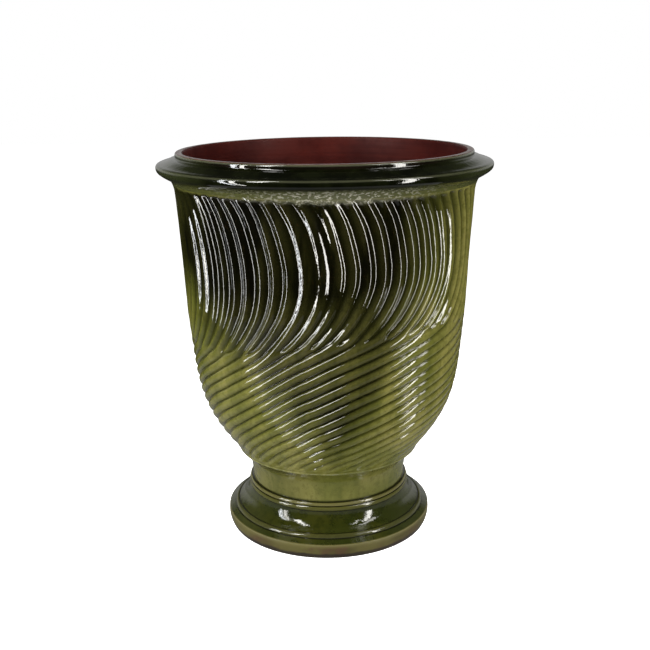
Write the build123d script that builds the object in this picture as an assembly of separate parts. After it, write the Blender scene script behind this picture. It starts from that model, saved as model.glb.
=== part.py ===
from build123d import *
import os

# Glazed terracotta garden vase, thrown in five sections that are luted together with slip.
#
# Every section is a ring turned about the vertical axis. The whole pot's cross-section is drawn once,
# as an outer skin and an inner skin, and cut at four joint heights. At each joint the lower section
# has a V-shaped channel round its top edge, the upper section has a smaller V-shaped tongue, and a
# ring of luting slip fills the space between the two. The clay lands on both sides of the channel
# meet face to face, so the slip is sealed inside the wall.
#
# Units are millimetres. The origin is at the centre of the base, +Z up.

# ---- Driving dimensions ----------------------------------------------------------------------

height = 500.0  # base to lip

base_radius = 134.2  # where the base band meets the ground
band_radius = 137.4  # fullest part of the base band
band_fullest_height = 11.0
band_top = 19.0
band_top_radius = 137.0
shoulder_radius = 128.4  # top of the sloping shoulder above the band
shoulder_top = 23.6
fillet_hollow = 0.7  # how far the fillet ring leans in at fillet_hollow_height
fillet_hollow_height = 26.8
fillet_top = 28.2
bell_radius = 123.4  # foot of the bell, beside the fillet ring
bell_top = 51.5
bell_top_radius = 107.8
bead_radius = 108.5  # fullest part of the lower bead under the neck
bead_split = 57.6  # between the two beads
bead_split_radius = 106.4
upper_bead_radius = 107.1
upper_bead_height = 59.6
bead_end_radius = 104.4
bead_end_height = 62.1

neck_bottom = 63.1
neck_radius = 102.8
neck_top = 106.0
neck_top_radius = 116.8
neck_waist_swell = 0.9  # the waist is this much wider than the neck's foot

bowl_edge_radius = 121.8  # the arris where the bowl overhangs the neck
bowl_edge_height = 110.6
bowl_edge_hollow = 0.9  # how far the edge is undercut, bowl_edge_rise above the neck
bowl_edge_rise = 1.6
bowl_joint_height = 250.0
bowl_joint_radius = 176.4

wall_top = 463.0
wall_top_radius = 192.3

roll_corner = 467.4  # the corner under the roll
roll_corner_radius = 194.5
roll_radius = 211.4  # the widest part of the pot
roll_height = 482.4
roll_top = 493.0
collar_radius = 187.2
collar_fillet = 1.8
lip_thickness = 9.5
lip_rounding = 2.6

ground_ring_inner = 118.0  # inner edge of the ring that the pot stands on
foot_wall = 13.0  # thickness at the top of the foot
neck_wall = 13.0
bowl_wall = 13.6  # thickness where the bowl joins the upper wall
floor_top = 120.0
floor_radius = 100.0  # where the floor turns up into the wall
drain_radius = 15.0

joint_half_width = 3.4  # half the width of a V-shaped channel
joint_depth = 4.6
slip_thickness = 1.3
flute_allowance = 2.0  # the V-joint in the fluted wall sits this much nearer the inside

# Points that shape the free curves, as (radius, height)
bell_middle = (111.8, 37.5)
foot_hollow_middle = (99.0, 36.0)
neck_waist = (neck_radius + neck_waist_swell, 76.0)
neck_flare = (108.6, 95.0)
bowl_outline = [(135.8, 130.0), (149.4, 150.0), (163.8, 180.0), (172.0, 213.0)]
bowl_hollow = [(155.2, 205.0), (142.2, 170.0), (121.0, 133.0)]
wall_outline = [(180.9, 300.0), (183.3, 350.0), (186.2, 400.0), (188.7, 440.0)]
wall_hollow = [(175.4, 400.0), (169.2, 320.0)]
roll_underside = (204.4, 473.4)
roll_upside = (205.4, 487.0)

# Directions in which the free curves set off and arrive, as (outward, upward)
bell_directions = [(-1, 0.45), (-0.08, 1)]
foot_hollow_directions = [(0.05, -1), (0.25, -1)]
neck_directions = [(0, 1), (0.8, 1)]
bowl_directions = [(0.62, 1), (0.085, 1)]
bowl_hollow_directions = [(-0.1, -1), (-1, 0)]
wall_directions = [(0.085, 1), (0.42, 1)]
wall_hollow_directions = [(0, -1), (-0.1, -1)]
roll_underside_directions = [(1, 0.5), (0, 1)]
roll_upside_directions = [(0, 1), (-1, 0.18)]

# ---- Values worked out from them ---------------------------------------------------------------

lip_radius = collar_radius - lip_thickness
foot_inner_radius = neck_radius - foot_wall
neck_inner_radius = neck_radius - neck_wall
bowl_inner_radius = bowl_joint_radius - bowl_wall
full_turn = 360


# ---- Helpers -----------------------------------------------------------------------------------


def skin_face(*edges):
    """Face inside a closed chain of edges drawn as (radius, height)."""
    return make_face(Wire(list(edges)))


def turned(face):
    """Ring turned about the vertical axis from a face drawn as (radius, height)."""
    return revolve(Plane.XZ * face, Axis.Z, full_turn)


def vee(joint, half_width, depth):
    """Triangle that points down from a joint, which is a (radius, height) in the wall's middle."""
    radius, joint_height = joint
    left = (radius - half_width, joint_height)
    right = (radius + half_width, joint_height)
    tip = (radius, joint_height - depth)
    return skin_face(Line(left, right), Line(right, tip), Line(tip, left))


def channel(joint):
    """The V-shaped channel cut round the top edge of the lower section."""
    return vee(joint, joint_half_width, joint_depth)


def tongue(joint):
    """The smaller V-shaped tongue round the bottom edge of the upper section."""
    half_width = joint_half_width - slip_thickness
    return vee(joint, half_width, joint_depth * half_width / joint_half_width)


def slip_ring(joint):
    """The luting slip that fills the space between a channel and its tongue."""
    return turned(channel(joint) - tongue(joint))


# ---- The four joints, each at the middle of the wall --------------------------------------------

foot_joint = ((foot_inner_radius + neck_radius) / 2, neck_bottom)
neck_joint = ((neck_inner_radius + neck_top_radius) / 2, neck_top)
bowl_joint = ((bowl_inner_radius + bowl_joint_radius) / 2 - flute_allowance / 2, bowl_joint_height)
rim_joint = ((lip_radius + wall_top_radius) / 2, wall_top)


# ---- Sections ----------------------------------------------------------------------------------


def foot():
    """Flared pedestal: base band, shoulder, fillet ring, bell and double bead, hollow below."""
    band_start = (base_radius, 0)
    band_end = (band_top_radius, band_top)
    shoulder_end = (shoulder_radius, shoulder_top)
    fillet_middle = (shoulder_radius - fillet_hollow, fillet_hollow_height)
    fillet_end = (bell_radius, fillet_top)
    bell_end = (bell_top_radius, bell_top)
    bead_middle = (bead_split_radius, bead_split)
    bead_end = (bead_end_radius, bead_end_height)
    outer_top = (neck_radius, neck_bottom)
    inner_top = (foot_inner_radius, neck_bottom)
    ground_ring = (ground_ring_inner, 0)
    face = skin_face(
        ThreePointArc(band_start, (band_radius, band_fullest_height), band_end),
        Line(band_end, shoulder_end),
        ThreePointArc(shoulder_end, fillet_middle, fillet_end),
        Spline(fillet_end, bell_middle, bell_end, tangents=bell_directions),
        ThreePointArc(bell_end, (bead_radius, (bell_top + bead_split) / 2), bead_middle),
        ThreePointArc(bead_middle, (upper_bead_radius, upper_bead_height), bead_end),
        Line(bead_end, outer_top),
        Line(outer_top, inner_top),
        Spline(inner_top, foot_hollow_middle, ground_ring, tangents=foot_hollow_directions),
        Line(ground_ring, band_start),
    )
    return turned(face - channel(foot_joint))


def neck_collar():
    """Waisted ring that carries the bowl on the foot."""
    outer_bottom = (neck_radius, neck_bottom)
    outer_top = (neck_top_radius, neck_top)
    inner_bottom = (neck_inner_radius, neck_bottom)
    inner_top = (neck_inner_radius, neck_top)
    face = skin_face(
        Spline(outer_bottom, neck_waist, neck_flare, outer_top, tangents=neck_directions),
        Line(outer_top, inner_top),
        Line(inner_top, inner_bottom),
        Line(inner_bottom, outer_bottom),
    )
    return turned(face - channel(neck_joint) + tongue(foot_joint))


def lower_bowl():
    """Lower half of the bowl, with the floor and its drain hole."""
    underside_inner = (drain_radius, neck_top)
    underside_outer = (neck_top_radius, neck_top)
    undercut = (bowl_edge_radius - bowl_edge_hollow, neck_top + bowl_edge_rise)
    arris = (bowl_edge_radius, bowl_edge_height)
    outer_top = (bowl_joint_radius, bowl_joint_height)
    inner_top = (bowl_inner_radius, bowl_joint_height)
    floor_outer = (floor_radius, floor_top)
    floor_inner = (drain_radius, floor_top)
    face = skin_face(
        Line(underside_inner, underside_outer),
        ThreePointArc(underside_outer, undercut, arris),
        Spline(arris, *bowl_outline, outer_top, tangents=bowl_directions),
        Line(outer_top, inner_top),
        Spline(inner_top, *bowl_hollow, floor_outer, tangents=bowl_hollow_directions),
        Line(floor_outer, floor_inner),
        Line(floor_inner, underside_inner),
    )
    return turned(face - channel(bowl_joint) + tongue(neck_joint))


def upper_wall():
    """Upper half of the bowl, nearly straight, with a slight flare to the rim."""
    outer_bottom = (bowl_joint_radius, bowl_joint_height)
    outer_top = (wall_top_radius, wall_top)
    inner_bottom = (bowl_inner_radius, bowl_joint_height)
    inner_top = (lip_radius, wall_top)
    face = skin_face(
        Spline(outer_bottom, *wall_outline, outer_top, tangents=wall_directions),
        Line(outer_top, inner_top),
        Spline(inner_top, *wall_hollow, inner_bottom, tangents=wall_hollow_directions),
        Line(inner_bottom, outer_bottom),
    )
    return turned(face - channel(rim_joint) + tongue(bowl_joint))


def rim_ring():
    """Top of the cavetto, the heavy projecting roll and the thin collar with its rounded lip."""
    outer_bottom = (wall_top_radius, wall_top)
    corner = (roll_corner_radius, roll_corner)
    nose = (roll_radius, roll_height)
    roll_end = (collar_radius + collar_fillet, roll_top)
    collar_start = (collar_radius, roll_top + collar_fillet)
    collar_end = (collar_radius, height - lip_rounding)
    lip_outer = (collar_radius - lip_rounding, height)
    lip_inner = (lip_radius + lip_rounding, height)
    inner_top = (lip_radius, height - lip_rounding)
    inner_bottom = (lip_radius, wall_top)
    face = skin_face(
        Line(outer_bottom, corner),
        Spline(corner, roll_underside, nose, tangents=roll_underside_directions),
        Spline(nose, roll_upside, roll_end, tangents=roll_upside_directions),
        RadiusArc(roll_end, collar_start, collar_fillet),
        Line(collar_start, collar_end),
        RadiusArc(collar_end, lip_outer, -lip_rounding),
        Line(lip_outer, lip_inner),
        RadiusArc(lip_inner, inner_top, -lip_rounding),
        Line(inner_top, inner_bottom),
        Line(inner_bottom, outer_bottom),
    )
    return turned(face + tongue(rim_joint))


# ---- Export ------------------------------------------------------------------------------------

pieces = {
    "foot": foot(),
    "slip_foot_neck": slip_ring(foot_joint),
    "neck_collar": neck_collar(),
    "slip_neck_bowl": slip_ring(neck_joint),
    "lower_bowl": lower_bowl(),
    "slip_bowl_wall": slip_ring(bowl_joint),
    "upper_wall": upper_wall(),
    "slip_wall_rim": slip_ring(rim_joint),
    "rim_ring": rim_ring(),
}

os.makedirs("parts", exist_ok=True)
for name, piece in pieces.items():
    piece.label = name
    export_step(piece, f"parts/{name}.step")
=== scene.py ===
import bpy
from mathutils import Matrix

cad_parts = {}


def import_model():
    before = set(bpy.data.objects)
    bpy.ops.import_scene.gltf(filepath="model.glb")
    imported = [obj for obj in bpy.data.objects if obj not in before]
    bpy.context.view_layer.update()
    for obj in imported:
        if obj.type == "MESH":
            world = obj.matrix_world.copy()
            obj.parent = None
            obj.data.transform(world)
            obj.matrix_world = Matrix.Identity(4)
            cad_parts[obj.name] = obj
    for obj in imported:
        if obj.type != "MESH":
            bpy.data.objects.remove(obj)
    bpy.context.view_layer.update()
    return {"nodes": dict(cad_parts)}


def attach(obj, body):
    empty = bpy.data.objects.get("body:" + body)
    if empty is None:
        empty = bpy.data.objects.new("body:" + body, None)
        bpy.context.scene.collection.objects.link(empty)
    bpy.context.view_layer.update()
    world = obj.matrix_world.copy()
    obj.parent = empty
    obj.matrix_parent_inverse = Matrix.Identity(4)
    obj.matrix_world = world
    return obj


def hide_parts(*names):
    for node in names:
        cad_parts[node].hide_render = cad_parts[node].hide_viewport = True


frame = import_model()

import math

import bpy
import numpy as np
from mathutils import Matrix, Vector

# A glazed garden vase. Each clay section's cross-section is read from its CAD node and turned again as a
# fine ring mesh; the two sections of the bowl also get the flutes that the potter draws in the soft clay.
# Lengths are metres. Azimuths are degrees: 0 faces the camera and they grow to the camera's right.

MM = 0.001
SMALL = 1e-9
WIDEST = 211.36  # millimetres; a hair inside the CAD nodes' flats

# ---- Flutes: the pattern drawn round the bowl ---------------------------------------------------------

# Crests of the nearly upright flutes, at the height where they stand straight
FRONT_CRESTS = [
    -58.5, -52.6, -46.4, -40.7, -35.3, -29.6, -23.6, -18.4, -13.2, -7.2, -0.8,
    4.7, 9.8, 15.5, 21.3, 27.6, 33.4, 39.0, 44.2, 49.8, 55.4, 61.0,
]
BACK_FLUTES = 42  # evenly spaced, with a little jitter, from the last front crest round to the first
CREST_JITTER = 0.45
UPPER_FLUTES = len(FRONT_CRESTS) - 1 + BACK_FLUTES

# How far an upright flute has swung sideways, in degrees, at each height in millimetres
SWING_HEIGHTS = [255, 270, 280, 288, 297, 305, 313, 320, 325, 335, 345, 355, 365,
                 380, 390, 400, 410, 420, 430, 440, 450, 460, 466]
SWING = [-23.5, -17.0, -13.2, -10.4, -7.7, -5.8, -4.1, -2.9, -2.2, -1.2, -0.5, -0.15, 0.0,
         0.0, -0.4, -0.9, -1.6, -2.4, -3.3, -4.5, -6.1, -8.0, -9.2]
SWING_TURN = 288.0  # where the swing above passes 45 degrees

# Slope of the lower flutes round the bowl: millimetres of rise per degree
SLOPE_AZIMUTHS = [-180, -110, -80, -60, -40, -25, -12, 0, 15, 28, 40, 52, 64, 80, 110, 150, 180]
SLOPES = [1.6, 1.6, 1.5, 1.6, 1.75, 1.9, 1.75, 1.4, 1.15, 1.15, 0.95, 0.7, 0.5, 0.5, 1.3, 1.7, 1.6]
LOWER_FLUTES = 37
LOWER_CREST_HEIGHT = 243.0  # a lower crest crosses azimuth 0 here

UPPER_DEPTH = 3.5
LOWER_DEPTH = 4.1
DEEPEST = 4.2  # the V-joint in the wall lies just behind this
UPPER_SHARPNESS = 1.0  # above 1 the crests are broad and the grooves narrow
ROLL_CREST = -0.7  # phase of a lower roll's crest; the creases lie at plus and minus pi
ROLL_EDGE_ANGLE = 80.0  # how steeply a lower flute's round roll falls into the crease beside it
CREASE_SOFTNESS = 0.18  # radians of phase

# The lower flutes' relief fades towards the right of the view
RELIEF_AZIMUTHS = [-180, -90, 20, 40, 55, 75, 95, 130, 180]
RELIEF = [1.0, 1.0, 1.0, 0.74, 0.5, 0.42, 0.6, 1.0, 1.0]

FLUTE_BOTTOM = (110.8, 118.0)  # heights between which the flutes fade in
FLUTE_TOPS = (460.6, 463.0)  # where the grooves' rounded upper ends lie
GROOVE_END = 4.8  # length of a groove's rounded end

# ---- Small helpers -------------------------------------------------------------------------------------


def smoothstep(low, high, x):
    t = np.clip((x - low) / (high - low), 0.0, 1.0)
    return t * t * (3.0 - 2.0 * t)


def wrapped(azimuth):
    return (azimuth + 180.0) % 360.0 - 180.0


def lattice_noise(seed, cells_round, cell_height):
    """Smooth noise from -1 to 1 over azimuth in degrees and height in millimetres, closed round the pot."""
    table = np.random.default_rng(seed).uniform(-1.0, 1.0, (64, cells_round))

    def noise(azimuth, height):
        u = (azimuth / 360.0 % 1.0) * cells_round
        v = height / cell_height + 8.0
        u0 = np.floor(u).astype(int)
        v0 = np.floor(v).astype(int)
        fu = u - u0
        fv = v - v0
        fu = fu * fu * (3.0 - 2.0 * fu)
        fv = fv * fv * (3.0 - 2.0 * fv)
        low = table[v0 % 64, u0 % cells_round] * (1 - fu) + table[v0 % 64, (u0 + 1) % cells_round] * fu
        v1 = v0 + 1
        high = table[v1 % 64, u0 % cells_round] * (1 - fu) + table[v1 % 64, (u0 + 1) % cells_round] * fu
        return low * (1 - fv) + high * fv

    return noise


def linear(red, green, blue):
    """Scene-linear colour from an sRGB colour of 0 to 255."""
    def channel(c):
        c /= 255.0
        return c / 12.92 if c <= 0.04045 else ((c + 0.055) / 1.055) ** 2.4
    return (channel(red), channel(green), channel(blue), 1.0)


# ---- Cross-sections from the CAD nodes -----------------------------------------------------------------


def outline(node):
    """A CAD node's closed cross-section as (radius, height) in millimetres, anticlockwise."""
    mesh = frame["nodes"][node].data
    spots = np.array([v.co for v in mesh.vertices])
    on_seam = (abs(spots[:, 1]) < 2e-6) & (spots[:, 0] > 0)
    links = {}
    for edge in mesh.edges:
        a, b = edge.vertices
        if on_seam[a] and on_seam[b]:
            keys = [(round(spots[i, 0] / MM, 2), round(spots[i, 2] / MM, 2)) for i in (a, b)]
            if keys[0] != keys[1]:
                links.setdefault(keys[0], set()).add(keys[1])
                links.setdefault(keys[1], set()).add(keys[0])
    start = min(links)
    loop = [start]
    previous, here = None, start
    while True:
        following = [k for k in sorted(links[here]) if k != previous][0]
        if following == start:
            break
        loop.append(following)
        previous, here = here, following
    loop = np.array(loop)
    after = np.roll(loop, -1, 0)
    area = np.sum(loop[:, 0] * after[:, 1] - after[:, 0] * loop[:, 1])
    return loop if area > 0 else loop[::-1]


def nearest(loop, point):
    return int(np.argmin(np.sum((loop - point) ** 2, 1)))


def stretches(loop, start, end, corner_angle=24.0):
    """The outline cut at its corners and at two points, as (points, whether it lies between the two)."""
    before = loop - np.roll(loop, 1, 0)
    after = np.roll(loop, -1, 0) - loop
    turn = np.degrees(np.arctan2(before[:, 0] * after[:, 1] - before[:, 1] * after[:, 0],
                                 np.sum(before * after, 1)))
    first, last = nearest(loop, start), nearest(loop, end)
    cuts = set(np.where(abs(turn) > corner_angle)[0].tolist()) | {first, last}
    steps = sorted((cut - first) % len(loop) for cut in cuts)
    around = np.roll(np.vstack([loop, loop]), -first, 0)
    outer_steps = (last - first) % len(loop)
    return [(around[i:j + 1], j <= outer_steps) for i, j in zip(steps, steps[1:] + [len(loop)])]


def smooth_line(points, spacing):
    """Positions and directions along a smooth line through the points; spacing(height) is in millimetres."""
    chord = np.linalg.norm(np.diff(points, axis=0), axis=1)
    along = np.concatenate([[0.0], np.cumsum(chord)])
    if len(points) == 2:
        slopes = np.repeat((points[1:] - points[:1]) / chord[0], 2, 0)
    else:
        rates = np.diff(points, axis=0) / chord[:, None]
        share = (chord[1:] / (chord[:-1] + chord[1:]))[:, None]
        middle = rates[:-1] * share + rates[1:] * (1 - share)
        slopes = np.vstack([2 * rates[:1] - middle[:1], middle, 2 * rates[-1:] - middle[-1:]])
    fine = np.linspace(0.0, along[-1], max(8, int(along[-1] / 0.05)))
    heights = np.interp(fine, along, points[:, 1])
    rows = np.concatenate([[0.0], np.cumsum(np.diff(fine) / (spacing(heights[1:]) + 0.0 * fine[1:]))])
    count = max(1, int(math.ceil(rows[-1])))
    at = np.interp(np.linspace(0.0, rows[-1], count + 1), rows, fine)
    k = np.clip(np.searchsorted(along, at, "right") - 1, 0, len(chord) - 1)
    h = chord[k][:, None]
    t = ((at - along[k]) / chord[k])[:, None]
    p0, p1, m0, m1 = points[k], points[k + 1], slopes[k] * h, slopes[k + 1] * h
    place = (2 * t**3 - 3 * t**2 + 1) * p0 + (t**3 - 2 * t**2 + t) * m0
    place += (3 * t**2 - 2 * t**3) * p1 + (t**3 - t**2) * m1
    rate = (6 * t**2 - 6 * t) * (p0 - p1) + (3 * t**2 - 4 * t + 1) * m0 + (3 * t**2 - 2 * t) * m1
    return place, rate / (np.linalg.norm(rate, axis=1)[:, None] + SMALL)


class Section:
    """Rows of a ring mesh: where each lies, which way it faces, and which rows are corners or outer skin.

    The outer surface runs anticlockwise from one (radius, height) to another. Its longest smooth stretch
    is the skin, which can carry a relief.
    """

    def __init__(self, node, start, end, outer_spacing, inner_spacing):
        self.node = node
        lines = stretches(outline(node), start, end)
        lengths = [np.linalg.norm(np.diff(points, axis=0), axis=1).sum() * outer for points, outer in lines]
        skin = int(np.argmax(lengths))
        places, directions, corner, outer_face, skin_face = [], [], [], [], []
        for i, (points, outer) in enumerate(lines):
            place, direction = smooth_line(points, outer_spacing if outer else inner_spacing)
            count = len(place) - 1
            places.append(place[:-1])
            directions.append(direction[:-1])
            corner += [True] + [False] * (count - 1)
            outer_face += [outer] * count
            skin_face += [i == skin] * count
            if i == skin:
                skin_end = direction[-1]
        self.place = np.clip(np.vstack(places), 0.0, [WIDEST, 500.0])
        self.direction = np.vstack(directions)
        self.corner = np.array(corner)
        self.outer_face = np.array(outer_face)
        self.skin_face = np.array(skin_face)
        self.skin_row = self.skin_face | np.roll(self.skin_face, 1)
        self.direction[self.skin_row & ~self.skin_face] = skin_end
        self.outward = np.stack([self.direction[:, 1], -self.direction[:, 0]], 1)
        self.middle = (self.place + np.roll(self.place, -1, 0)) / 2


def by_height(heights, values):
    """A spacing in millimetres that changes with height."""
    return lambda height: np.interp(height, heights, values)


def even(value):
    return lambda height: value


# ---- The flutes' relief ------------------------------------------------------------------------------------

rng = np.random.default_rng(11)
back_start, back_end = FRONT_CRESTS[-1], FRONT_CRESTS[0] + 360.0
back = np.linspace(back_start, back_end, BACK_FLUTES + 1)[1:-1]
back = back + rng.uniform(-CREST_JITTER, CREST_JITTER, len(back))
CRESTS = np.concatenate([FRONT_CRESTS, back])
CREST_TABLE = np.concatenate([CRESTS - 360.0, CRESTS, CRESTS + 360.0])
CREST_COUNT = np.arange(len(CREST_TABLE)) - len(CRESTS)
GROOVE_TOPS = rng.uniform(*FLUTE_TOPS, UPPER_FLUTES)
GROOVE_DEPTHS = rng.uniform(0.86, 1.08, UPPER_FLUTES)

fine_azimuths = np.linspace(-180.0, 180.0, 1441)
fine_slopes = np.interp(fine_azimuths, SLOPE_AZIMUTHS, SLOPES)
fine_rise = np.concatenate([[0.0], np.cumsum((fine_slopes[1:] + fine_slopes[:-1]) / 2 * 0.25)])
TURN_RISE = fine_rise[-1]
LOWER_PITCH = TURN_RISE / LOWER_FLUTES  # upright distance between two lower crests
fine_rise = fine_rise - np.interp(0.0, fine_azimuths, fine_rise)

ROLL_PHASES = np.linspace(-np.pi, np.pi, 721)


def roll_profile():
    """Depth round a lower flute's phase: round rolls with a narrow crease between them."""
    side = np.where(ROLL_PHASES < ROLL_CREST, np.pi + ROLL_CREST, np.pi - ROLL_CREST)
    across = (ROLL_PHASES - ROLL_CREST) / side
    curve = 1.0 / math.sin(math.radians(ROLL_EDGE_ANGLE))
    depth = curve - np.sqrt(curve * curve - across * across)
    offsets = np.linspace(-2.0, 2.0, 41)
    soft = sum(np.interp((ROLL_PHASES + CREASE_SOFTNESS * o + np.pi) % (2 * np.pi) - np.pi, ROLL_PHASES, depth)
               * math.exp(-0.5 * o * o) for o in offsets)
    soft = soft - soft.min()
    return soft / soft.max()


ROLL_DEPTHS = roll_profile()

path_wander = lattice_noise(21, 40, 38.0)
lower_wander = lattice_noise(22, 26, 30.0)
depth_wander = lattice_noise(23, 30, 46.0)
burr_noise = lattice_noise(24, 380, 1.9)
burr_patches = lattice_noise(25, 14, 500.0)
hand_wander = lattice_noise(26, 90, 9.0)


def turn_height(azimuth):
    """Where the flutes swing from upright to slanting."""
    a = np.radians(azimuth)
    return 296.0 + 10.0 * np.sin(a) + 7.0 * np.sin(2 * a) + 6.0 * np.cos(2 * a)


def groove_shape(azimuth, height):
    """How deep the surface lies below the crests, in millimetres, and that as a share of a full groove."""
    azimuth = wrapped(azimuth)
    turn = turn_height(azimuth)
    lift = (turn - SWING_TURN) * (1.0 - smoothstep(340.0, 400.0, height))
    swing = np.interp(height - lift, SWING_HEIGHTS, SWING)
    straight = azimuth - swing + 0.22 * path_wander(azimuth, height)
    upper = np.interp(straight, CREST_TABLE, CREST_COUNT)
    bend = -7.0 * smoothstep(-26.0, 6.0, height - turn)
    rise = np.interp(azimuth, fine_azimuths, fine_rise)
    lower = (rise - height - bend + LOWER_CREST_HEIGHT) / LOWER_PITCH + 0.05 * lower_wander(azimuth, height)
    mix = smoothstep(-19.0, -1.0, height - turn)
    field = mix * np.exp(2j * np.pi * upper) + (1.0 - mix) * np.exp(2j * np.pi * lower)
    strength = np.abs(field)
    clear = np.clip(strength / 0.5, 0.0, 1.0)
    clear = clear * (2.0 - clear)
    angle = np.angle(field)
    upright = (0.5 - 0.5 * np.cos(angle)) ** UPPER_SHARPNESS
    slanting = np.interp(angle, ROLL_PHASES, ROLL_DEPTHS)
    share = 0.5 + clear * (slanting + (upright - slanting) * mix - 0.5)
    groove = np.floor(upper).astype(int) % UPPER_FLUTES
    top = GROOVE_TOPS[groove]
    ending = smoothstep(0.0, 1.0, (top - height) / GROOVE_END)
    starting = smoothstep(*FLUTE_BOTTOM, height)
    full = (LOWER_DEPTH + (UPPER_DEPTH - LOWER_DEPTH) * mix) * (1.0 + 0.1 * depth_wander(azimuth, height))
    full = full * (1.0 + (GROOVE_DEPTHS[groove] - 1.0) * mix)
    faded = np.interp(azimuth, RELIEF_AZIMUTHS, RELIEF)
    faded = faded - 0.3 * np.exp(-((azimuth - 42.0) / 24.0) ** 2) * (1.0 - smoothstep(150.0, 205.0, height))
    full = full * (1.0 + (faded - 1.0) * (1.0 - mix)) * (0.6 + 0.4 * smoothstep(118.0, 175.0, height))
    depth = np.minimum(full, DEEPEST) * share * ending * starting
    behind = smoothstep(95.0, 130.0, abs(azimuth))
    patch = 0.9 * behind * burr_patches(azimuth, height) + np.exp(-((azimuth - 3.0) / 16.0) ** 2)
    band = smoothstep(454.0, 459.0, height) * (1.0 - smoothstep(461.8, 462.9, height))
    burrs = smoothstep(0.3, 0.9, patch) * band * 0.6 * np.clip(burr_noise(azimuth, height) + 0.15, 0.0, 1.0)
    body = smoothstep(112.0, 120.0, height) * (1.0 - smoothstep(455.0, 462.0, height))
    touch = 0.05 * (1.0 + hand_wander(azimuth, height)) * body
    shown = ending * starting * (0.7 + 0.3 * smoothstep(125.0, 190.0, height))
    return depth + burrs + touch, share * shown, burrs


# ---- Ring meshes ----------------------------------------------------------------------------------------------


FLUTED_COLUMNS = 1000
# Degrees for each millimetre: the fluted meshes' columns lean along the flutes
LEAN_HEIGHTS = [90, 262, 290, 300, 310, 320, 335, 365, 385, 400, 430, 450, 466]
LEANS = [0.65, 0.65, 0.33, 0.27, 0.20, 0.13, 0.07, 0.0, 0.0, -0.05, -0.10, -0.17, -0.20]
lean_heights = np.arange(90.0, 480.0, 1.0)
lean_sum = np.cumsum(np.interp(lean_heights, LEAN_HEIGHTS, LEANS))


def lean(height):
    """How far round a fluted mesh's columns have leaned at a height."""
    return np.interp(height, lean_heights, lean_sum)


def ring_piece(section, name, around, materials, face_material, masks, relief=None):
    """Closed ring mesh from a section's rows, with the relief pressed into its outer skin."""
    rows = len(section.place)
    height = np.repeat(section.place[:, 1][:, None], around, 1)
    azimuth = np.arange(around)[None, :] * (360.0 / around) + lean(height) * (relief is not None)
    radians = np.radians(azimuth)
    radius = np.repeat(section.place[:, 0][:, None], around, 1)
    face_r = section.outward[:, 0][:, None]
    face_z = section.outward[:, 1][:, None]
    share = np.zeros_like(radius)
    thinned = np.zeros_like(radius)
    tone = darkness(azimuth, height)
    normals = None
    if relief:
        skin = section.skin_row
        grid_azimuth = azimuth[skin]
        grid_height = height[skin]
        depth, share[skin], thinned[skin] = relief(grid_azimuth, grid_height)
        small = 0.12
        dir_z = section.direction[skin, 1][:, None]
        up = relief(grid_azimuth, grid_height + small * dir_z)[0]
        down = relief(grid_azimuth, grid_height - small * dir_z)[0]
        along = (up - down) / (2 * small)
        turn = np.degrees(small / radius[skin])
        right = relief(grid_azimuth + turn, grid_height)[0]
        left = relief(grid_azimuth - turn, grid_height)[0]
        across = (right - left) / (2 * small)
        radius[skin] -= depth * face_r[skin]
        height[skin] -= depth * face_z[skin]
        n_r = face_r[skin] + along * section.direction[skin, 0][:, None]
        n_z = face_z[skin] + along * dir_z
        n_t = across
        sin, cos = np.sin(radians[skin]), np.cos(radians[skin])
        normals = np.zeros((rows, around, 3))
        normals[skin] = np.stack([n_r * sin + n_t * cos, -n_r * cos + n_t * sin, n_z], -1)
        normals[skin] /= np.linalg.norm(normals[skin], axis=-1)[..., None]
    spots = np.stack([radius * np.sin(radians), -radius * np.cos(radians), height], -1) * MM
    k = np.arange(rows)[:, None]
    j = np.arange(around)[None, :]
    k1, j1 = (k + 1) % rows, (j + 1) % around
    faces = np.stack([k * around + j, k * around + j1, k1 * around + j1, k1 * around + j], -1).reshape(-1, 4)
    mesh = bpy.data.meshes.new(name)
    mesh.from_pydata(spots.reshape(-1, 3), [], faces)
    for material in materials:
        mesh.materials.append(material)
    mesh.polygons.foreach_set("material_index", np.repeat(face_material, around).astype(np.int32))
    mesh.polygons.foreach_set("use_smooth", np.ones(len(faces), bool))
    ends = np.zeros(len(mesh.edges) * 2, np.int32)
    mesh.edges.foreach_get("vertices", ends)
    end_rows = ends.reshape(-1, 2) // around
    sharp = (end_rows[:, 0] == end_rows[:, 1]) & section.corner[end_rows[:, 0]]
    mesh.attributes.new("sharp_edge", "BOOLEAN", "EDGE").data.foreach_set("value", sharp)
    # glaze layer: red is pooled glaze, green thin glaze with painted sheen, blue the dark tone with painted shade
    values = np.zeros((rows, around, 4), np.float32)
    # painted shade: on the lower flutes the grooves keep more of the dark tone than the crests, for the shade on the
    # rolls' lower sides
    crest = (1.0 - share**0.7) * (1.0 - smoothstep(262.0, 310.0, height)) * (relief is not None)
    values[..., 0] = masks[0][:, None] + share**1.5
    values[..., 1] = masks[1][:, None] + 1.6 * thinned + worn_band_and_sheen(azimuth, height)
    values[..., 3] = 1.0
    values[..., 2] = tone * (1.0 - 0.26 * crest)
    values = np.clip(values, 0.0, 1.0)
    layer = mesh.attributes.new("glaze", "FLOAT_COLOR", "POINT")
    layer.data.foreach_set("color", values.reshape(-1).astype(np.float32))
    mesh.update()
    if normals is not None:
        corner_normals = np.zeros(len(mesh.loops) * 3, np.float32)
        mesh.corner_normals.foreach_get("vector", corner_normals)
        corner_normals = corner_normals.reshape(rows, around, 4, 3)
        vertex_of = faces.reshape(rows, around, 4)
        own = normals.reshape(-1, 3)[vertex_of]
        corner_normals[section.skin_face] = own[section.skin_face]
        mesh.normals_split_custom_set(corner_normals.reshape(-1, 3))
    piece = bpy.data.objects.new(name, mesh)
    bpy.context.scene.collection.objects.link(piece)
    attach(piece, "root")
    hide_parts(section.node)
    return piece


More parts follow.
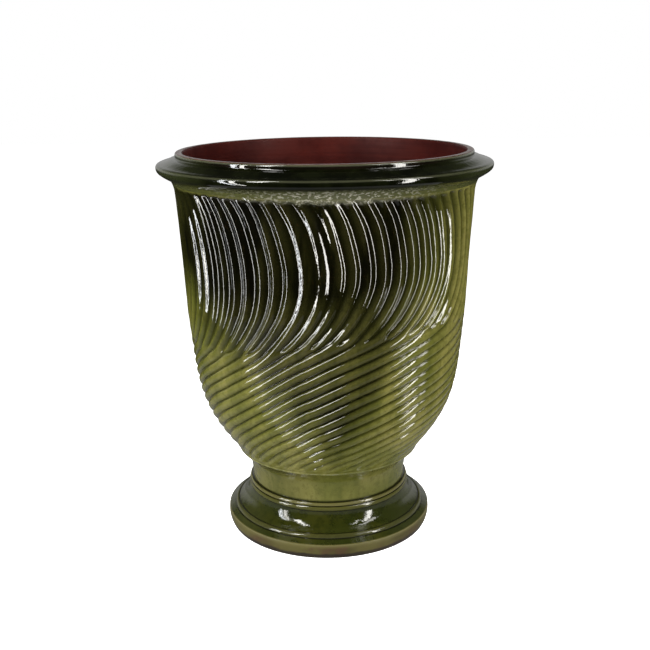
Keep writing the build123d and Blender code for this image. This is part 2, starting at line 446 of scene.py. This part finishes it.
def worn_band_and_sheen(azimuth, height):
    """Pale band above the flutes at the front: partly thin, worn glaze and partly painted sheen."""
    band = smoothstep(456.0, 461.0, height) * (1.0 - smoothstep(470.0, 476.0, height))
    return np.exp(-((wrapped(azimuth) - 3.0) / 26.0) ** 2) * band


def curvature_masks(section):
    """Where the turned outline is hollow, so glaze pools, and where it is a raised edge, so glaze thins."""
    step = np.linalg.norm(np.roll(section.place, -1, 0) - section.place, axis=1)
    facing = np.roll(section.place, -1, 0) - section.place
    earlier = np.roll(facing, 1, 0)
    turn = np.arctan2(earlier[:, 0] * facing[:, 1] - earlier[:, 1] * facing[:, 0], np.sum(earlier * facing, 1))
    bend = turn / (0.5 * (step + np.roll(step, 1)) + SMALL)
    bend[section.outer_face != np.roll(section.outer_face, 1)] = 0.0
    soft = (np.roll(bend, 1) + 2.0 * bend + np.roll(bend, -1)) / 4.0
    hollow = np.exp(-((section.place[:, 1] - HOLLOW_JOINT) / 1.3) ** 2)
    return smoothstep(0.04, 0.35, -soft) + hollow, smoothstep(0.16, 0.42, soft)


HOLLOW_JOINT = 63.1  # the joint between the foot and the neck lies in a hollow, which the glaze fills
dark_patches = lattice_noise(41, 9, 150.0)
dark_streaks = lattice_noise(42, 60, 170.0)


DARK_AZIMUTHS = [-180, -150, -125, -100, -80, -62, -35, 5, 20, 34, 48, 62, 95, 120, 150, 180]
DARK_AMOUNTS = [0.7, 0.95, 0.75, 0.65, 0.95, 1.08, 1.18, 1.18, 1.0, 0.72, 0.42, 0.16, 0.1, 0.35, 0.55, 0.7]
DARK_FLOORS = [285, 290, 300, 310, 325, 320, 268, 150, 222, 328, 350, 345, 335, 310, 290, 285]
# painted shade on the neck's top under the bowl's overhang, by azimuth
NECK_AZIMUTHS = [-180, -60, -25, 0, 25, 60, 180]
NECK_SHADES = [1.0, 2.2, 2.0, 0.15, 0.9, 1.2, 1.0]


def darkness(azimuth, height):
    """Dark tone over much of the upper half, strongest at the front and left, in broad patches and runs; lifted just
    below the rim as painted sheen, and on the neck's top added as painted shade under the bowl.
    """
    azimuth = wrapped(azimuth)
    amount = np.interp(azimuth, DARK_AZIMUTHS, DARK_AMOUNTS) * (1.0 + 0.15 * dark_patches(azimuth, height))
    floor_height = np.interp(azimuth, DARK_AZIMUTHS, DARK_FLOORS)
    runs = height + 16.0 * dark_streaks(azimuth, height) - floor_height
    body = amount * smoothstep(-45.0, 60.0, runs) * (0.76 + 0.24 * smoothstep(312.0, 385.0, height))
    # painted sheen: the dark tone is lifted in the band just below the rim, at the flutes' upper ends
    body = body * (1.0 - 0.62 * smoothstep(458.5, 462.5, height))
    # painted shade: darker at the neck's top under the bowl's overhang, most on the left
    neck = (0.16 + 0.22 * smoothstep(92.0, 106.0, height)) * (1.0 - smoothstep(106.0, 108.0, height))
    return np.clip(body + neck * np.interp(azimuth, NECK_AZIMUTHS, NECK_SHADES), 0.0, 1.0)


# ---- Materials ------------------------------------------------------------------------------------------------


class Nodes:
    """Short way to build a node tree."""

    def __init__(self, name):
        self.material = bpy.data.materials.new(name)
        self.material.use_nodes = True
        self.tree = self.material.node_tree
        self.tree.nodes.clear()
        self.output = self.add("ShaderNodeOutputMaterial")
        self.shader = self.add("ShaderNodeBsdfPrincipled")
        self.link(self.shader, "BSDF", self.output, "Surface")
        self.spots = self.add("ShaderNodeTexCoord")

    def add(self, kind, **settings):
        node = self.tree.nodes.new(kind)
        for key, value in settings.items():
            setattr(node, key, value)
        return node

    def link(self, source, output, target, inlet):
        self.tree.links.new(source.outputs[output], target.inputs[inlet])

    def noise(self, scale, detail=3.0, roughness=0.55, stretch=(1.0, 1.0, 1.0)):
        mapping = self.add("ShaderNodeMapping")
        mapping.inputs["Scale"].default_value = stretch
        self.link(self.spots, "Object", mapping, "Vector")
        noise = self.add("ShaderNodeTexNoise")
        noise.inputs["Scale"].default_value = scale
        noise.inputs["Detail"].default_value = detail
        noise.inputs["Roughness"].default_value = roughness
        self.link(mapping, "Vector", noise, "Vector")
        return noise, "Fac"

    def spread(self, source, low, high, out_low=0.0, out_high=1.0):
        """Map low..high of a value to out_low..out_high, clamped."""
        node = self.add("ShaderNodeMapRange", interpolation_type="SMOOTHSTEP")
        for inlet, value in zip(("From Min", "From Max", "To Min", "To Max"), (low, high, out_low, out_high)):
            node.inputs[inlet].default_value = value
        self.link(source[0], source[1], node, "Value")
        return node, "Result"

    def math(self, operation, first, second, clamp=False):
        node = self.add("ShaderNodeMath", operation=operation, use_clamp=clamp)
        for i, value in enumerate((first, second)):
            if isinstance(value, tuple):
                self.tree.links.new(value[0].outputs[value[1]], node.inputs[i])
            else:
                node.inputs[i].default_value = value
        return node, "Value"

    def mix(self, factor, first, second):
        node = self.add("ShaderNodeMix", data_type="RGBA")
        for inlet, value in ((0, factor), (6, first), (7, second)):
            if isinstance(value[0], bpy.types.Node):
                source = value[0].outputs[2 if value[0].bl_idname == "ShaderNodeMix" else value[1]]
                self.tree.links.new(source, node.inputs[inlet])
            else:
                node.inputs[inlet].default_value = value
        return node, "Result"

    def colour_out(self, mixed, inlet):
        self.tree.links.new(mixed[0].outputs[2], self.shader.inputs[inlet])

    def masks(self):
        """The ring meshes' own masks: pooled glaze; thin glaze, which also carries painted sheen; and a dark tone,
        partly painted shade.
        """
        layer = self.add("ShaderNodeVertexColor", layer_name="glaze")
        parts = self.add("ShaderNodeSeparateColor")
        self.link(layer, "Color", parts, "Color")
        return (parts, "Red"), (parts, "Green"), (parts, "Blue")

    def bump(self, height, strength, distance):
        node = self.add("ShaderNodeBump")
        node.inputs["Strength"].default_value = strength
        node.inputs["Distance"].default_value = distance
        self.link(height[0], height[1], node, "Height")
        self.link(node, "Normal", self.shader, "Normal")


def glaze_material():
    """Transparent green lead-type glaze over clay: olive where thin, green where it pools, near-black where the dark
    tone is high (in part painted shade), with painted glints above the flutes.
    """
    n = Nodes("green_glaze")
    pool, thin, dark = n.masks()
    clouds = n.spread(n.noise(9.0, 4.0), 0.36, 0.64)
    runs = n.spread(n.noise(34.0, 4.0, 0.6, (1.0, 1.0, 0.16)), 0.4, 0.66)
    specks = n.spread(n.noise(420.0, 2.0), 0.64, 0.74)
    body = n.mix(clouds, linear(146, 141, 76), linear(116, 117, 51))
    body = n.mix(n.math("MULTIPLY", runs, 0.55), body, linear(92, 97, 38))
    mottles = n.spread(n.noise(150.0, 5.0, 0.65), 0.48, 0.62)
    body = n.mix(n.math("MULTIPLY", mottles, 0.34), body, linear(78, 82, 32))
    body = n.mix(n.math("MULTIPLY", pool, 0.85), body, linear(50, 53, 16))
    # near-black by the dark tone; on the neck's top and in the lower grooves this is painted shade
    body = n.mix(n.math("MULTIPLY", dark, n.spread(runs, 0.0, 1.0, 0.93, 1.0)), body, linear(10, 10, 4))
    # pale where the glaze thins on raised edges; in the band above the flutes this is partly painted sheen, and along
    # the edge under the bowl the pale line stands in for a glint (painted highlight)
    body = n.mix(n.math("MULTIPLY", thin, 0.66), body, linear(140, 140, 112))
    # painted glints: near-white flecks on the pale band above the flutes and on thin edges
    painted_glints = n.spread(n.noise(210.0, 3.0, 0.6, (1.0, 1.0, 1.8)), 0.52, 0.6)
    body = n.mix(n.math("MULTIPLY", n.math("MULTIPLY", thin, painted_glints), 0.65), body, linear(226, 222, 202))
    body = n.mix(n.math("MULTIPLY", specks, 0.5), body, linear(60, 44, 20))
    n.colour_out(body, "Base Color")
    rough = n.spread(n.noise(60.0, 3.0), 0.3, 0.7, 0.03, 0.07)
    n.link(rough[0], rough[1], n.shader, "Roughness")
    n.shader.inputs["IOR"].default_value = 1.62
    n.bump(n.noise(130.0, 3.0, 0.5), 0.35, 0.0006)
    return n.material


def rim_glaze_material():
    """The roll's and collar's glaze, thick and nearly black; lighter olive in the hollow below the roll as painted
    light where the roll's shade falls, and paler roll ends as a painted reflection.
    """
    n = Nodes("rim_glaze")
    pool, thin, dark = n.masks()
    height = n.add("ShaderNodeSeparateXYZ")
    n.link(n.spots, "Object", height, "Vector")
    clouds = n.spread(n.noise(12.0, 4.0), 0.36, 0.64)
    runs = n.spread(n.noise(40.0, 4.0, 0.6, (1.0, 1.0, 0.3)), 0.42, 0.64)
    body = n.mix(clouds, linear(13, 15, 5), linear(7, 9, 3))
    body = n.mix(n.math("MULTIPLY", runs, 0.5), body, linear(26, 30, 13))
    body = n.mix(n.spread((height, "Z"), 0.494, 0.4955), body, n.mix(clouds, linear(25, 19, 13), linear(13, 12, 6)))
    # painted light: lighter olive in the hollow below the roll, where the roll's shade falls
    body = n.mix(n.spread((height, "Z"), 0.4765, 0.469), body, linear(84, 86, 44))
    # painted reflection: the roll's ends are lighter towards the left and right of the view, standing in for the pale
    # backdrop seen in the glaze at grazing angles
    painted_side_reflection = n.spread(n.math("ABSOLUTE", (height, "X"), 0.0), 0.11, 0.2)
    body = n.mix(n.math("MULTIPLY", painted_side_reflection, 0.55), body, linear(66, 72, 42))
    # pale where the glaze thins on edges; in the band below the roll this is partly painted sheen
    body = n.mix(n.math("MULTIPLY", thin, 0.6), body, linear(110, 112, 88))
    # painted glints: near-white flecks in the pale zone below the roll, which also carries painted sheen
    painted_glints = n.spread(n.noise(210.0, 3.0, 0.6, (1.0, 1.0, 1.8)), 0.52, 0.6)
    worn = n.math("MULTIPLY", thin, n.spread((height, "Z"), 0.476, 0.4705))
    body = n.mix(n.math("MULTIPLY", n.math("MULTIPLY", worn, painted_glints), 0.7), body, linear(226, 222, 202))
    n.colour_out(body, "Base Color")
    rough = n.spread(n.noise(60.0, 3.0), 0.3, 0.7, 0.04, 0.08)
    n.link(rough[0], rough[1], n.shader, "Roughness")
    n.shader.inputs["IOR"].default_value = 1.6
    n.bump(n.noise(120.0, 3.0, 0.5), 0.35, 0.0006)
    return n.material


def foot_glaze_material():
    """The foot's glaze: darker green on the bell, a browner and duller base band with a stained lower edge."""
    n = Nodes("foot_glaze")
    pool, thin, dark = n.masks()
    height = n.add("ShaderNodeSeparateXYZ")
    n.link(n.spots, "Object", height, "Vector")
    band = n.spread((height, "Z"), 0.0199, 0.0184)
    clouds = n.spread(n.noise(14.0, 4.0), 0.36, 0.64)
    runs = n.spread(n.noise(40.0, 4.0, 0.6, (1.0, 1.0, 0.3)), 0.4, 0.66)
    bell = n.mix(clouds, linear(56, 58, 17), linear(42, 48, 14))
    beads = n.spread((height, "Z"), 0.050, 0.056)
    mottles = n.spread(n.noise(90.0, 5.0, 0.65), 0.46, 0.62)
    bell = n.mix(n.math("MULTIPLY", mottles, 0.5), bell, linear(30, 36, 9))
    # painted reflection: the bell is lighter towards the left and right of the view, standing in for the pale
    # backdrop seen in the glaze
    painted_side_reflection = n.spread(n.math("ABSOLUTE", (height, "X"), 0.0), 0.055, 0.12)
    bell = n.mix(n.math("MULTIPLY", painted_side_reflection, 0.32), bell, linear(88, 92, 58))
    bell = n.mix(n.math("MULTIPLY", beads, 0.75), bell, linear(84, 84, 36))
    bare = n.mix(clouds, linear(98, 92, 42), linear(78, 72, 28))
    stains = n.spread(n.noise(26.0, 4.0, 0.6), 0.5, 0.66)
    bare = n.mix(n.math("MULTIPLY", stains, 0.6), bare, linear(88, 58, 38))
    bare = n.mix(n.spread((height, "Z"), 0.0135, 0.0178, 0.0, 0.55), bare, linear(116, 110, 62))
    body = n.mix(band, bell, bare)
    ragged = n.noise(70.0, 4.0)
    ragged_height = n.math("ADD", (height, "Z"), n.math("MULTIPLY", ragged, 0.006))
    stain = n.spread(ragged_height, 0.0108, 0.0082)
    body = n.mix(n.math("MULTIPLY", stain, 0.85), body, linear(34, 22, 16))
    body = n.mix(n.math("MULTIPLY", pool, 0.85), body, linear(16, 16, 5))
    body = n.mix(n.math("MULTIPLY", thin, 0.6), body, linear(130, 124, 80))
    n.colour_out(body, "Base Color")
    rough = n.spread(n.noise(60.0, 3.0), 0.3, 0.7, 0.05, 0.12)
    duller = n.math("ADD", rough, n.math("MULTIPLY", band, 0.28))
    n.link(duller[0], duller[1], n.shader, "Roughness")
    n.shader.inputs["IOR"].default_value = 1.6
    n.bump(n.noise(110.0, 4.0, 0.5), 0.45, 0.0008)
    return n.material


def inside_material():
    """Satin red-brown wash on the inside, with faint throwing lines."""
    n = Nodes("inside_wash")
    clouds = n.spread(n.noise(16.0, 4.0), 0.35, 0.65)
    rings = n.spread(n.noise(30.0, 3.0, 0.5, (0.15, 0.15, 6.0)), 0.4, 0.6)
    body = n.mix(clouds, linear(83, 32, 27), linear(65, 22, 19))
    body = n.mix(n.math("MULTIPLY", rings, 0.35), body, linear(52, 18, 18))
    n.colour_out(body, "Base Color")
    rough = n.spread(n.noise(90.0, 3.0), 0.3, 0.7, 0.38, 0.55)
    n.link(rough[0], rough[1], n.shader, "Roughness")
    n.shader.inputs["Specular IOR Level"].default_value = 0.12
    n.bump(n.noise(40.0, 3.0, 0.5, (0.2, 0.2, 5.0)), 0.3, 0.0008)
    return n.material


def lip_material():
    """Thin glaze worn to red-brown clay along the lip."""
    n = Nodes("lip_glaze")
    wear = n.spread(n.noise(50.0, 4.0), 0.4, 0.62)
    body = n.mix(wear, linear(100, 70, 62), linear(76, 50, 40))
    n.colour_out(body, "Base Color")
    rough = n.spread(n.noise(70.0, 3.0), 0.3, 0.7, 0.14, 0.3)
    n.link(rough[0], rough[1], n.shader, "Roughness")
    n.bump(n.noise(160.0, 3.0), 0.3, 0.0005)
    return n.material


def clay_material():
    """Bare fired terracotta, sandy and matt."""
    n = Nodes("bare_terracotta")
    clouds = n.spread(n.noise(22.0, 5.0), 0.36, 0.64)
    grit = n.spread(n.noise(900.0, 2.0), 0.6, 0.72)
    body = n.mix(clouds, linear(168, 98, 66), linear(150, 84, 54))
    body = n.mix(n.math("MULTIPLY", grit, 0.5), body, linear(196, 150, 116))
    n.colour_out(body, "Base Color")
    rough = n.spread(n.noise(120.0, 3.0), 0.3, 0.7, 0.78, 0.92)
    n.link(rough[0], rough[1], n.shader, "Roughness")
    n.bump(n.noise(700.0, 4.0), 0.4, 0.0005)
    return n.material


def slip_material():
    """Luting slip, a finer and paler clay than the sections."""
    n = Nodes("luting_slip")
    clouds = n.spread(n.noise(60.0, 4.0), 0.36, 0.64)
    body = n.mix(clouds, linear(176, 112, 80), linear(158, 96, 66))
    n.colour_out(body, "Base Color")
    rough = n.spread(n.noise(200.0, 3.0), 0.3, 0.7, 0.82, 0.95)
    n.link(rough[0], rough[1], n.shader, "Roughness")
    n.bump(n.noise(500.0, 3.0), 0.3, 0.0003)
    return n.material


# ---- Building the pieces -------------------------------------------------------------------------------------------

glaze = glaze_material()
foot_glaze = foot_glaze_material()
rim_glaze = rim_glaze_material()
inside = inside_material()
lip = lip_material()
clay = clay_material()
slip = slip_material()


def build_foot():
    section = Section("foot", (134.2, 0.0), (102.8, 63.1), even(0.8), even(2.5))
    face_material = np.where(section.outer_face, 0, 1)
    return ring_piece(section, "foot_glazed", 480, [foot_glaze, clay], face_material, curvature_masks(section))


def build_neck():
    section = Section("neck_collar", (102.8, 63.1), (116.8, 106.0), even(1.4), even(5.0))
    face_material = np.where(section.outer_face, 0, 1)
    return ring_piece(section, "neck_glazed", 480, [glaze, clay], face_material, curvature_masks(section))


def build_bowl():
    section = Section("lower_bowl", (116.8, 106.0), (176.4, 250.0), by_height([110, 112], [0.7, 2.1]), even(11.0))
    under = ~section.outer_face & (section.middle[:, 1] < 106.5)
    under |= (section.middle[:, 0] < 15.5) & (section.middle[:, 1] < 119.5)
    joint = ~section.outer_face & (section.middle[:, 0] > 163.0) & (section.middle[:, 1] > 244.0)
    face_material = np.where(section.outer_face, 0, np.where(under | joint, 2, 1))
    return ring_piece(section, "bowl_fluted", FLUTED_COLUMNS, [glaze, inside, clay], face_material,
                      curvature_masks(section), groove_shape)


def build_wall():
    spacing = by_height([250, 320, 335, 425, 440, 463], [2.1, 2.2, 4.2, 4.2, 1.45, 1.35])
    section = Section("upper_wall", (176.4, 250.0), (192.3, 463.0), spacing, even(14.0))
    hollow = ~section.outer_face & (section.middle[:, 1] > 250.1) & (section.middle[:, 1] < 462.9)
    face_material = np.where(section.outer_face, 0, np.where(hollow, 1, 2))
    return ring_piece(section, "wall_fluted", FLUTED_COLUMNS, [glaze, inside, clay], face_material,
                      curvature_masks(section), groove_shape)


def build_rim():
    section = Section("rim_ring", (192.3, 463.0), (184.6, 500.0), even(0.9), even(1.2))
    lip_face = section.middle[:, 1] > 499.3
    joint = ~section.outer_face & (section.middle[:, 1] < 463.1)
    face_material = np.where(lip_face, 2, np.where(joint, 3, np.where(section.outer_face, 0, 1)))
    return ring_piece(section, "rim_glazed", 600, [rim_glaze, inside, lip, clay], face_material,
                      curvature_masks(section))


build_foot()
build_neck()
build_bowl()
build_wall()
build_rim()
for node, shown in frame["nodes"].items():
    if node.startswith("slip"):
        shown.data.materials.clear()
        shown.data.materials.append(slip)

# ---- Floor, light and camera ------------------------------------------------------------------------------------------


def floor():
    mesh = bpy.data.meshes.new("floor")
    half = 6.0
    mesh.from_pydata([(-half, -half, 0), (half, -half, 0), (half, half, 0), (-half, half, 0)], [], [(0, 1, 2, 3)])
    plane = bpy.data.objects.new("floor", mesh)
    bpy.context.scene.collection.objects.link(plane)
    plane.location.z = -0.0004
    material = bpy.data.materials.new("pale_floor")
    material.use_nodes = True
    shader = material.node_tree.nodes["Principled BSDF"]
    shader.inputs["Base Color"].default_value = (0.9, 0.9, 0.9, 1)
    shader.inputs["Roughness"].default_value = 0.9
    shader.inputs["Emission Color"].default_value = (1, 1, 1, 1)
    shader.inputs["Emission Strength"].default_value = 1.0
    mesh.materials.append(material)
    plane.visible_glossy = False
    plane.visible_diffuse = False


def paper_sheet(name, radius, strength, glossy):
    """White sheet under the pot, seen only in its glaze or only by its diffuse light."""
    mesh = bpy.data.meshes.new(name)
    around = [2 * math.pi * i / 64 for i in range(64)]
    rim = [(radius * math.cos(a), radius * math.sin(a), 0) for a in around]
    mesh.from_pydata(rim, [], [tuple(range(64))])
    sheet = bpy.data.objects.new(name, mesh)
    bpy.context.scene.collection.objects.link(sheet)
    sheet.location = (0, 0, -0.0002)
    material = bpy.data.materials.new(name)
    material.use_nodes = True
    shader = material.node_tree.nodes["Principled BSDF"]
    shader.inputs["Base Color"].default_value = (0.0, 0.0, 0.0, 1)
    shader.inputs["Roughness"].default_value = 0.9
    shader.inputs["Emission Color"].default_value = (1, 1, 1, 1)
    shader.inputs["Emission Strength"].default_value = strength
    mesh.materials.append(material)
    sheet.visible_camera = False
    sheet.visible_diffuse = not glossy
    sheet.visible_glossy = glossy
    sheet.visible_shadow = False


def window(name, azimuth, distance, width, low, high, radiance, tint=(1.0, 1.0, 1.0), glossy=True):
    """Upright area light that faces the pot."""
    light = bpy.data.lights.new(name, "AREA")
    light.shape = "RECTANGLE"
    light.size = width
    light.size_y = high - low
    light.energy = radiance * math.pi * width * (high - low)
    light.color = tint
    lamp = bpy.data.objects.new(name, light)
    bpy.context.scene.collection.objects.link(lamp)
    a = math.radians(azimuth)
    lamp.location = (distance * math.sin(a), -distance * math.cos(a), (low + high) / 2)
    towards = Vector((-math.sin(a), math.cos(a), 0))
    lamp.rotation_mode = "QUATERNION"
    lamp.rotation_quaternion = towards.to_track_quat("-Z", "Y")
    lamp.visible_camera = False
    lamp.visible_glossy = glossy
    return lamp


def overhead():
    """Soft light from above, too dim to show in the glaze, for the inside of the pot."""
    size, above, radiance = 2.0, 2.5, 0.5
    light = bpy.data.lights.new("overhead", "AREA")
    light.shape = "SQUARE"
    light.size = size
    light.energy = radiance * math.pi * size * size
    lamp = bpy.data.objects.new("overhead", light)
    bpy.context.scene.collection.objects.link(lamp)
    lamp.location = (0, 0, above)
    lamp.visible_camera = False
    lamp.visible_glossy = False


def world():
    scene_world = bpy.data.worlds.new("studio")
    bpy.context.scene.world = scene_world
    scene_world.use_nodes = True
    tree = scene_world.node_tree
    tree.nodes.clear()
    output = tree.nodes.new("ShaderNodeOutputWorld")
    choose = tree.nodes.new("ShaderNodeMixShader")
    path = tree.nodes.new("ShaderNodeLightPath")
    plain = tree.nodes.new("ShaderNodeBackground")
    plain.inputs["Color"].default_value = (1, 1, 1, 1)
    plain.inputs["Strength"].default_value = 1.0
    room = tree.nodes.new("ShaderNodeBackground")
    spots = tree.nodes.new("ShaderNodeTexCoord")
    parts = tree.nodes.new("ShaderNodeSeparateXYZ")
    tree.links.new(spots.outputs["Generated"], parts.inputs["Vector"])
    paper = tree.nodes.new("ShaderNodeMapRange")
    paper.interpolation_type = "SMOOTHSTEP"
    for inlet, value in zip(("From Min", "From Max", "To Min", "To Max"), (0.25, 0.6, 0.02, 0.55)):
        paper.inputs[inlet].default_value = value
    tree.links.new(parts.outputs["Y"], paper.inputs["Value"])
    low = tree.nodes.new("ShaderNodeMapRange")
    for inlet, value in zip(("From Min", "From Max", "To Min", "To Max"), (-0.12, 0.0, 0.03, 1.0)):
        low.inputs[inlet].default_value = value
    tree.links.new(parts.outputs["Z"], low.inputs["Value"])
    high = tree.nodes.new("ShaderNodeMapRange")
    for inlet, value in zip(("From Min", "From Max", "To Min", "To Max"), (0.22, 0.42, 1.0, 0.03)):
        high.inputs[inlet].default_value = value
    tree.links.new(parts.outputs["Z"], high.inputs["Value"])
    both = tree.nodes.new("ShaderNodeMath")
    both.operation = "MULTIPLY"
    tree.links.new(paper.outputs["Result"], both.inputs[0])
    tree.links.new(low.outputs["Result"], both.inputs[1])
    all_three = tree.nodes.new("ShaderNodeMath")
    all_three.operation = "MULTIPLY"
    tree.links.new(both.outputs["Value"], all_three.inputs[0])
    tree.links.new(high.outputs["Result"], all_three.inputs[1])
    tree.links.new(all_three.outputs["Value"], room.inputs["Strength"])
    tree.links.new(path.outputs["Is Camera Ray"], choose.inputs["Fac"])
    tree.links.new(room.outputs["Background"], choose.inputs[1])
    tree.links.new(plain.outputs["Background"], choose.inputs[2])
    tree.links.new(choose.outputs["Shader"], output.inputs["Surface"])


def camera():
    lens_pixels = 957.9
    frame_pixels = 650
    sensor = 36.0
    data = bpy.data.cameras.new("camera")
    data.sensor_width = sensor
    data.lens = lens_pixels / frame_pixels * sensor
    view = bpy.data.objects.new("camera", data)
    bpy.context.scene.collection.objects.link(view)
    place = Matrix.Translation((0.0, -1.22215, 0.6119))
    yaw = Matrix.Rotation(math.radians(0.10), 4, "Z")
    pitch = Matrix.Rotation(math.radians(90.0 - 15.675), 4, "X")
    roll = Matrix.Rotation(math.radians(-0.727), 4, "Z")
    view.matrix_world = place @ yaw @ pitch @ roll
    bpy.context.scene.camera = view


floor()
paper_sheet("paper_light", 0.8, 0.75, False)
paper_sheet("paper_mirrored", 0.5, 0.2, True)
window("window_left_high", -43.0, 1.5, 0.26, 0.75, 2.5, 18.0, (1.0, 0.99, 0.95))
window("window_left_1", -58.5, 1.5, 0.085, -0.7, 1.2, 19.0, (1.0, 0.98, 0.93))
window("window_left_2", -66.0, 1.5, 0.085, -0.7, 1.2, 19.0, (0.94, 0.97, 1.0))
window("window_right_high", 41.0, 1.5, 0.09, 0.9, 2.2, 10.0, (1.0, 0.99, 0.95))
window("window_right_1", 53.5, 1.5, 0.18, -0.38, 1.4, 16.0, (1.0, 0.98, 0.93))
window("window_right_2", 66.0, 1.5, 0.26, 0.9, 2.9, 7.0, (1.0, 0.98, 0.95))
window("fill", 5.0, 2.4, 2.4, 0.3, 2.1, 0.1, glossy=False)
window("fill_back", 180.0, 2.4, 2.4, 0.3, 2.1, 0.3, glossy=False)
overhead()
world()
camera()

bpy.context.scene.view_settings.view_transform = "Standard"
